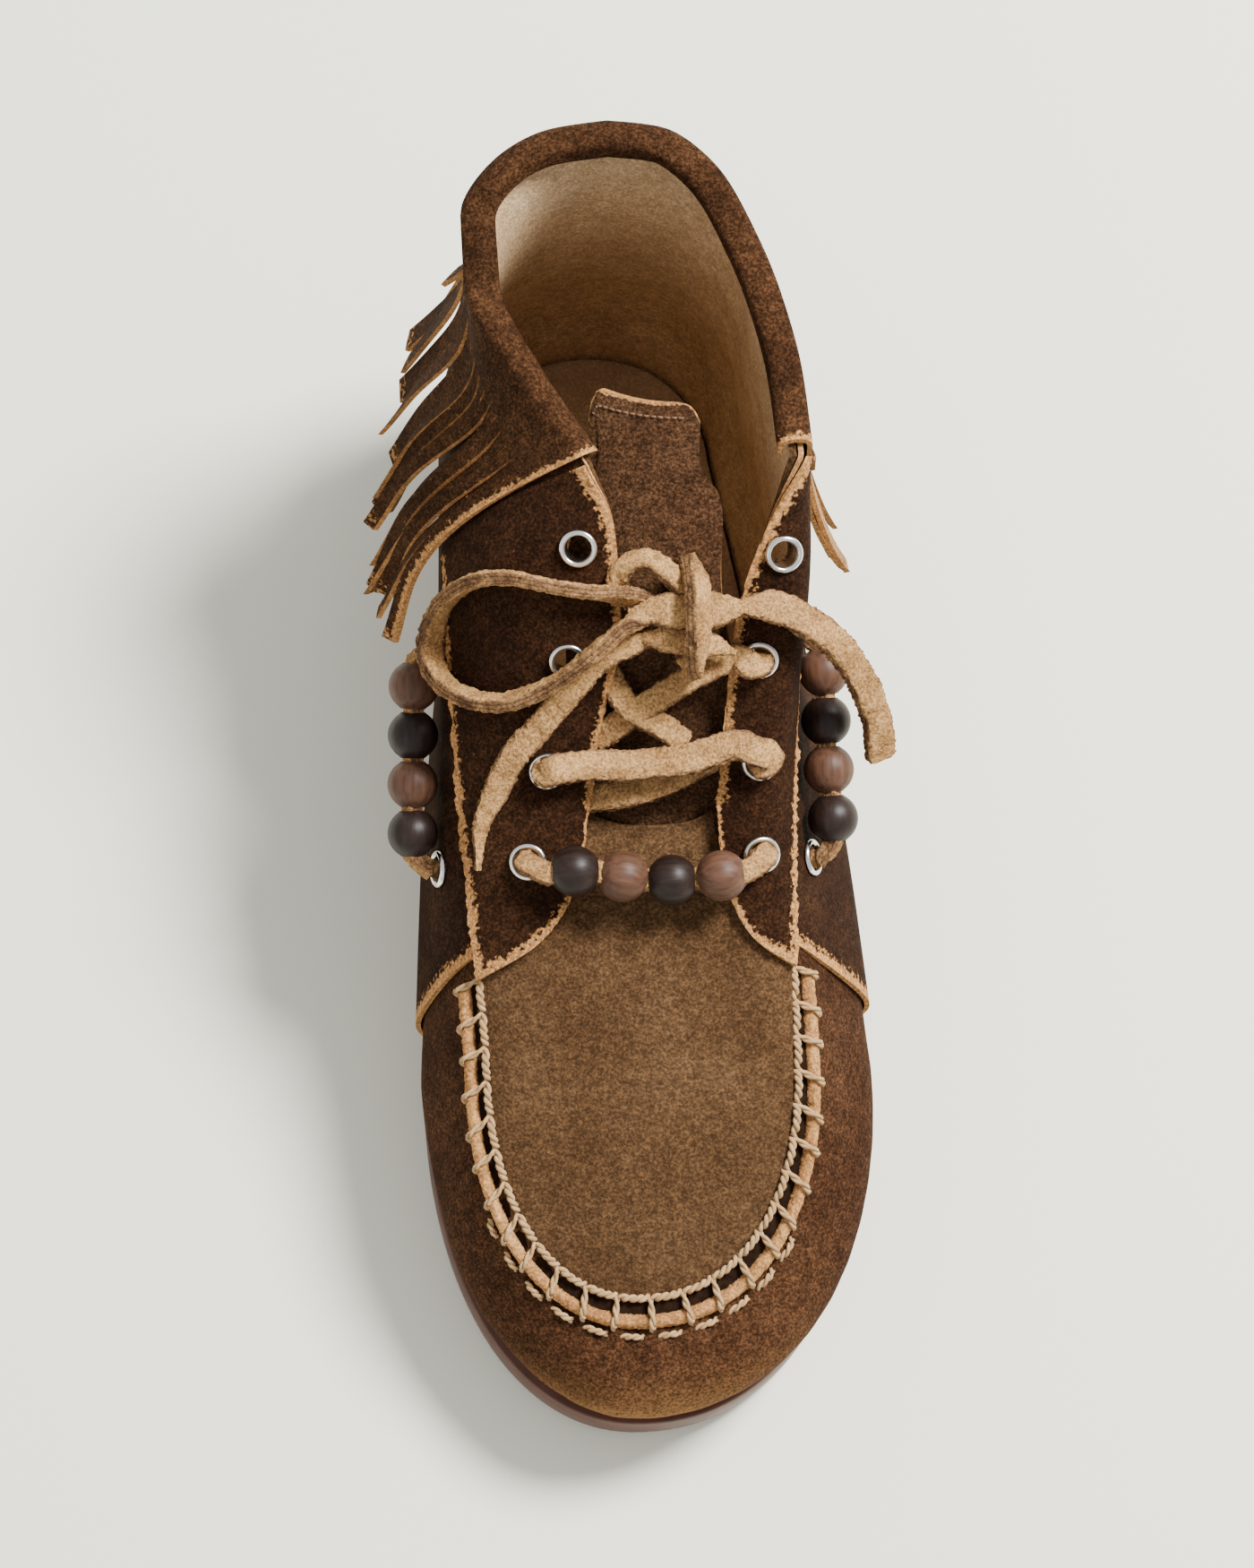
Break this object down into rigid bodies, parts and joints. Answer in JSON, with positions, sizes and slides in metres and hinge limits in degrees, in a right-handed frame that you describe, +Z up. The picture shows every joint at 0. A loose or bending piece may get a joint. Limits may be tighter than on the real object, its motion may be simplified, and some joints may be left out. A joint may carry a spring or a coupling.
{
  "type": "fringe boot",
  "caption": "Soft left moccasin ankle boot with a rubber sole, raised apron seam, laced throat tied in a bow, threaded beads and a fringed collar.",
  "frame": {"origin": "on the ground plane under the sole, on the boot's long axis near mid length", "axes": "+Z up, -Y towards the toe, +Y towards the heel, +X towards the outer side of the left foot"},
  "size_m": [0.1099, 0.2595, 0.1317],
  "materials": {
    "rubber": "reddish-brown satin rubber",
    "lining": "light tan lining leather",
    "vamp_suede": "reddish-brown suede with a short nap",
    "dark_suede": "dark brown suede with a short nap",
    "raw_edge": "raw cut tan suede edge",
    "thong": "raw tan suede thong",
    "nickel": "bright nickel",
    "dark_wood": "dark satin wood",
    "brown_wood": "mid-brown satin wood"
  },
  "bodies": {
    "root": {"outsole": "rubber", "insole": "lining", "upper": "vamp_suede", "apron_seam": "raw_edge", "tongue": "vamp_suede", "quarter_medial": "dark_suede", "quarter_lateral": "dark_suede", "eyestay_medial": "dark_suede", "eyestay_lateral": "dark_suede", "collar_fringe": "dark_suede", "eyelet_throat_medial_1": "nickel", "eyelet_throat_medial_2": "nickel", "eyelet_throat_medial_3": "nickel", "eyelet_throat_medial_4": "nickel", "eyelet_throat_lateral_1": "nickel", "eyelet_throat_lateral_2": "nickel", "eyelet_throat_lateral_3": "nickel", "eyelet_throat_lateral_4": "nickel", "eyelet_side_medial_front": "nickel", "eyelet_side_medial_rear": "nickel", "eyelet_side_lateral_front": "nickel", "eyelet_side_lateral_rear": "nickel", "bead_front_1": "dark_wood", "bead_front_2": "brown_wood", "bead_front_3": "dark_wood", "bead_front_4": "brown_wood", "bead_medial_1": "dark_wood", "bead_medial_2": "brown_wood", "bead_medial_3": "dark_wood", "bead_medial_4": "brown_wood", "bead_lateral_1": "dark_wood", "bead_lateral_2": "brown_wood", "bead_lateral_3": "dark_wood", "bead_lateral_4": "brown_wood", "lace_bead_bar": "thong", "lace_side_medial": "thong", "lace_side_lateral": "thong", "lace_crossings": "thong", "lace_lower_strand": "thong", "lace_knot": "thong", "lace_loop": "thong", "lace_end_medial": "thong", "lace_end_lateral": "thong"}
  },
  "joints": []
}
